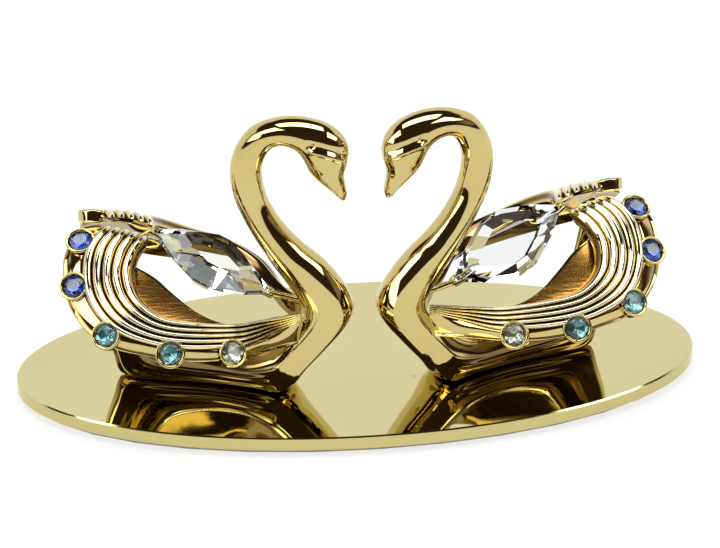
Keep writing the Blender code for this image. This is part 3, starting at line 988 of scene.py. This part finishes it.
def seated_wing(sizes):
    """The wing with its cups, the seats cut clear of the ribs."""
    band = bpy.data.objects.new("wing_band", wing_band(sizes))
    bm = bmesh.new()
    radius = sizes.stone / 2 + SEAT_GAP
    for place in CUP_PLACES:
        at = cup_frame(place, sizes) @ Matrix.Translation((0, 0, SEAT_LIFT))
        bmesh.ops.create_cone(bm, cap_ends=True, segments=ROUND_STEPS, radius1=radius,
                              radius2=radius, depth=SEAT_DEPTH, matrix=at)
    cutter = bpy.data.objects.new("wing_cutter", finish_mesh("wing_cutter", bm))
    for helper in (band, cutter):
        bpy.context.scene.collection.objects.link(helper)
    mod = band.modifiers.new("Seats", 'BOOLEAN')
    mod.operation = 'DIFFERENCE'
    mod.solver = 'EXACT'
    mod.object = cutter
    bpy.context.view_layer.update()
    cut = bpy.data.meshes.new_from_object(
        band.evaluated_get(bpy.context.evaluated_depsgraph_get()))
    bm = bmesh.new()
    bm.from_mesh(cut)
    for place in CUP_PLACES:
        lathe(bm, cup_profile(sizes), cup_frame(place, sizes))
    for helper in (band, cutter):
        bpy.data.objects.remove(helper, do_unlink=True)
    return finish_mesh("swan_wing", bm, 38)


class SwanWingsAdd(Operator):
    """Four ribbed wings with an inner leaf and five stone cups each."""
    bl_idname = "swan_figurine.wings_add"
    bl_label = "Swan Wings"

    def execute(self, context):
        mesh = seated_wing(context.scene.swan_sizes)
        for side, word in SIDES:
            for flip, which in WINGS:
                place_piece("%s_swan_%s_wing" % (word, which), mesh, finish_material("gold"),
                            ["swan_%s_wing_%s" % (word, which)],
                            swan_frame(side) @ across(flip))
        return {'FINISHED'}


# Stones

def stone_mesh(sizes, foil):
    """Round brilliant: the clear crown, or the foiled facets beneath it."""
    bm = bmesh.new()
    for share, z, count, twist in (FOIL_RINGS if foil else CROWN_RINGS):
        radius = sizes.stone / 2 * share
        for i in range(count):
            a = 2 * math.pi * (i + twist) / count
            bm.verts.new((math.cos(a) * radius, math.sin(a) * radius, z * MM))
    bmesh.ops.convex_hull(bm, input=bm.verts)
    if foil:
        lid = [f for f in bm.faces if f.calc_center_median().z > FOIL_LID]
        bmesh.ops.delete(bm, geom=lid, context='FACES_ONLY')
    join_facets(bm)
    if foil:
        bmesh.ops.solidify(bm, geom=list(bm.faces), thickness=FOIL_THICK)
    return facet_mesh("round_stone", bm)


class RoundStonesAdd(Operator):
    """Twenty round stones in the wings' cups."""
    bl_idname = "swan_figurine.stones_add"
    bl_label = "Round Stones"

    def execute(self, context):
        sizes = context.scene.swan_sizes
        crown, foil = stone_mesh(sizes, False), stone_mesh(sizes, True)
        for side, word in SIDES:
            for flip, which in WINGS:
                for i, (place, kind) in enumerate(zip(CUP_PLACES, STONE_KINDS), 1):
                    spin = Matrix.Rotation(SPIN_BY_PLACE * i + SPIN_BY_SWAN * side, 4, 'Z')
                    at = swan_frame(side) @ across(flip) @ cup_frame(place, sizes) @ spin
                    node = ["swan_%s_stone_%s_%d" % (word, which, i)]
                    name = "%s_swan_%s_stone_%d" % (word, which, i)
                    place_piece(name, crown, finish_material(kind), node, at)
                    place_piece(name + "_foil", foil, finish_material(kind + "_foil"),
                                node, at)
        return {'FINISHED'}


def crystal_mesh(side, sizes):
    """Long pointed crystal: two tables, bevelled rims and a girdle."""
    bm = bmesh.new()
    length = CRYSTAL_FRONT - CRYSTAL_REAR
    along = length.normalized()
    roll = Matrix.Rotation(-CRYSTAL_ROLL[side], 3, along)
    wide, deep = roll @ Vector((-along.z, 0, along.x)), roll @ Vector((0, 1, 0))
    middle = (CRYSTAL_REAR + CRYSTAL_FRONT) / 2
    for way in (-1, 1):
        for share, y in ((1.0, GIRDLE_HALF), (TABLE_SHARE, sizes.crystal_thick / 2)):
            for x, h in CRYSTAL_GIRDLE:
                for sign in (-1, 1):
                    bm.verts.new(middle + length / 2 * x * share + deep * y * way
                                 + wide * sizes.crystal_width / 2 * h * share * sign)
    bmesh.ops.convex_hull(bm, input=bm.verts)
    loose = [v for v in bm.verts if not v.link_faces]
    bmesh.ops.delete(bm, geom=loose, context='VERTS')
    join_facets(bm)
    return facet_mesh("long_crystal", bm)


class LongCrystalsAdd(Operator):
    """The long pointed crystal between each swan's wings."""
    bl_idname = "swan_figurine.crystals_add"
    bl_label = "Long Crystals"

    def execute(self, context):
        for side, word in SIDES:
            mesh = crystal_mesh(side, context.scene.swan_sizes)
            place_piece(word + "_swan_crystal", mesh, finish_material("clear"),
                        ["swan_%s_crystal" % word], swan_frame(side))
        return {'FINISHED'}


# Stage

def studio_world(context):
    """White room below and behind, a darker room in front, panels above."""
    world = bpy.data.worlds.new("studio")
    context.scene.world = world
    fin = Finish(world)
    x, y, z = fin.split(fin.node("TexCoord", out=0))
    behind = fin.clamp_step(y, 0.05, 0.30) * fin.fade(z, 0.58, 0.66)
    ground = fin.fade(z, 0.0, 0.04)
    white = 1.0 - (1.0 - behind) * (1.0 - ground)
    beside = fin.clamp_step(x * -1.0, 0.76, 0.80) + fin.clamp_step(x, 0.80, 0.90) * 0.07
    beside = beside * fin.clamp_step(z, 0.16, 0.20) * fin.fade(z, 0.52, 0.56) \
        * fin.fade(y, -0.05, 0.05)
    high = z.at_least(0.2)
    wide, deep = abs(x / high), y / high
    above = fin.fade(wide, 0.46, 0.52) * fin.fade(abs(deep - 0.10), 0.20, 0.27) \
        * fin.clamp_step(z, 0.5, 0.55)
    upper = fin.clamp_step(wide, 0.62, 0.70) * fin.fade(wide, 1.5, 1.6) \
        * fin.fade(abs(deep + 0.42), 0.28, 0.36) * fin.clamp_step(z, 0.42, 0.46)
    panels = (beside * BESIDE_LIGHT).at_least(above.at_least(upper) * ABOVE_LIGHT)
    level = (white * ROOM_WHITE).at_least(panels)
    camera = fin.node("LightPath", out="Is Camera Ray")
    diffuse = fin.node("LightPath", out="Is Diffuse Ray")
    through = fin.node("LightPath", out="Is Transmission Ray")
    level = level * (1.0 - diffuse) + diffuse * SOFT_LIGHT
    level = level * (1.0 - camera) + camera + DARK_LIGHT + through * DARK_IN_GLASS
    shade = fin.mix(through, DARK_TINT, GLASS_TINT)
    tint = fin.mix(fin.clamp_step(level, 0.1, 0.6), shade, (1, 1, 1, 1))
    fin.close(fin.node("Background", None, {"Color": tint, "Strength": level}), "OutputWorld")


def white_floor(context):
    """Floor that stays white where the camera or a reflection sees it."""
    bm = bmesh.new()
    bmesh.ops.create_grid(bm, x_segments=1, y_segments=1, size=FLOOR_SIZE)
    mesh = to_mesh("floor", bm)
    mat = bpy.data.materials.new("white_floor")
    fin = Finish(mat)
    tone = fin.mix(object_noise(fin, 8.0), *FLOOR_TONES)
    seen = fin.node("LightPath", out="Is Camera Ray")
    for word in ("Is Glossy Ray", "Is Transmission Ray"):
        seen = seen.at_least(fin.node("LightPath", out=word))
    matt = fin.node("BsdfDiffuse", None, {"Color": tone})
    glow = fin.node("Emission", None, {"Color": (1, 1, 1, 1), "Strength": 1.0})
    fin.close(fin.node("MixShader", None, {0: seen * FLOOR_GLOW, 1: matt, 2: glow}))
    mesh.materials.append(mat)
    floor = bpy.data.objects.new("floor", mesh)
    context.scene.collection.objects.link(floor)


def soft_panel(context):
    """A panel above that lights the pieces and isn't seen in them."""
    lamp = bpy.data.lights.new("soft_panel", 'AREA')
    lamp.shape = 'RECTANGLE'
    lamp.size, lamp.size_y = PANEL_SIZE
    lamp.energy = PANEL_POWER
    light = bpy.data.objects.new("soft_panel", lamp)
    light.location = PANEL_PLACE
    light.visible_glossy = False
    light.visible_camera = False
    context.scene.collection.objects.link(light)


def photo_camera(context):
    """The camera, from the photograph's side and height."""
    lens = bpy.data.cameras.new("camera")
    lens.sensor_width = CAMERA_SENSOR
    lens.lens = CAMERA_LENS
    lens.clip_start = 0.05
    back = Vector((math.sin(CAMERA_AZIMUTH) * math.cos(CAMERA_LIFT),
                   -math.cos(CAMERA_AZIMUTH) * math.cos(CAMERA_LIFT), math.sin(CAMERA_LIFT)))
    eye = bpy.data.objects.new("camera", lens)
    eye.location = Vector(CAMERA_TARGET) + back * CAMERA_FAR
    eye.rotation_euler = back.to_track_quat('Z', 'Y').to_euler()
    context.scene.collection.objects.link(eye)
    context.scene.camera = eye


class StudioAdd(Operator):
    """White floor, soft light and the camera."""
    bl_idname = "swan_figurine.studio_add"
    bl_label = "Studio"

    def execute(self, context):
        white_floor(context)
        studio_world(context)
        soft_panel(context)
        photo_camera(context)
        context.scene.view_settings.view_transform = 'Standard'
        return {'FINISHED'}


class SwanPanel(Panel):
    """Lists the figurine's pieces, sizes and colours."""
    bl_idname = "VIEW3D_PT_swan_figurine"
    bl_label = "Swan Figurine"
    bl_space_type = 'VIEW_3D'
    bl_region_type = 'UI'
    bl_category = "Swans"

    def draw(self, context):
        for piece in PIECES:
            self.layout.operator(piece.bl_idname)
        for group in (context.scene.swan_sizes, context.scene.swan_colours):
            for key in group.__annotations__:
                self.layout.prop(group, key)


PIECES = (OvalPlateAdd, SwanBodiesAdd, SwanWingsAdd, RoundStonesAdd, LongCrystalsAdd, StudioAdd)
CLASSES = (SwanSizes, SwanColours) + PIECES + (SwanPanel,)


def register():
    for cls in CLASSES:
        bpy.utils.register_class(cls)
    bpy.types.Scene.swan_sizes = PointerProperty(type=SwanSizes)
    bpy.types.Scene.swan_colours = PointerProperty(type=SwanColours)


def unregister():
    del bpy.types.Scene.swan_colours
    del bpy.types.Scene.swan_sizes
    for cls in reversed(CLASSES):
        bpy.utils.unregister_class(cls)


def main():
    register()
    bpy.ops.swan_figurine.plate_add()
    bpy.ops.swan_figurine.bodies_add()
    bpy.ops.swan_figurine.wings_add()
    bpy.ops.swan_figurine.stones_add()
    bpy.ops.swan_figurine.crystals_add()
    bpy.ops.swan_figurine.studio_add()


if __name__ == "__main__":
    main()
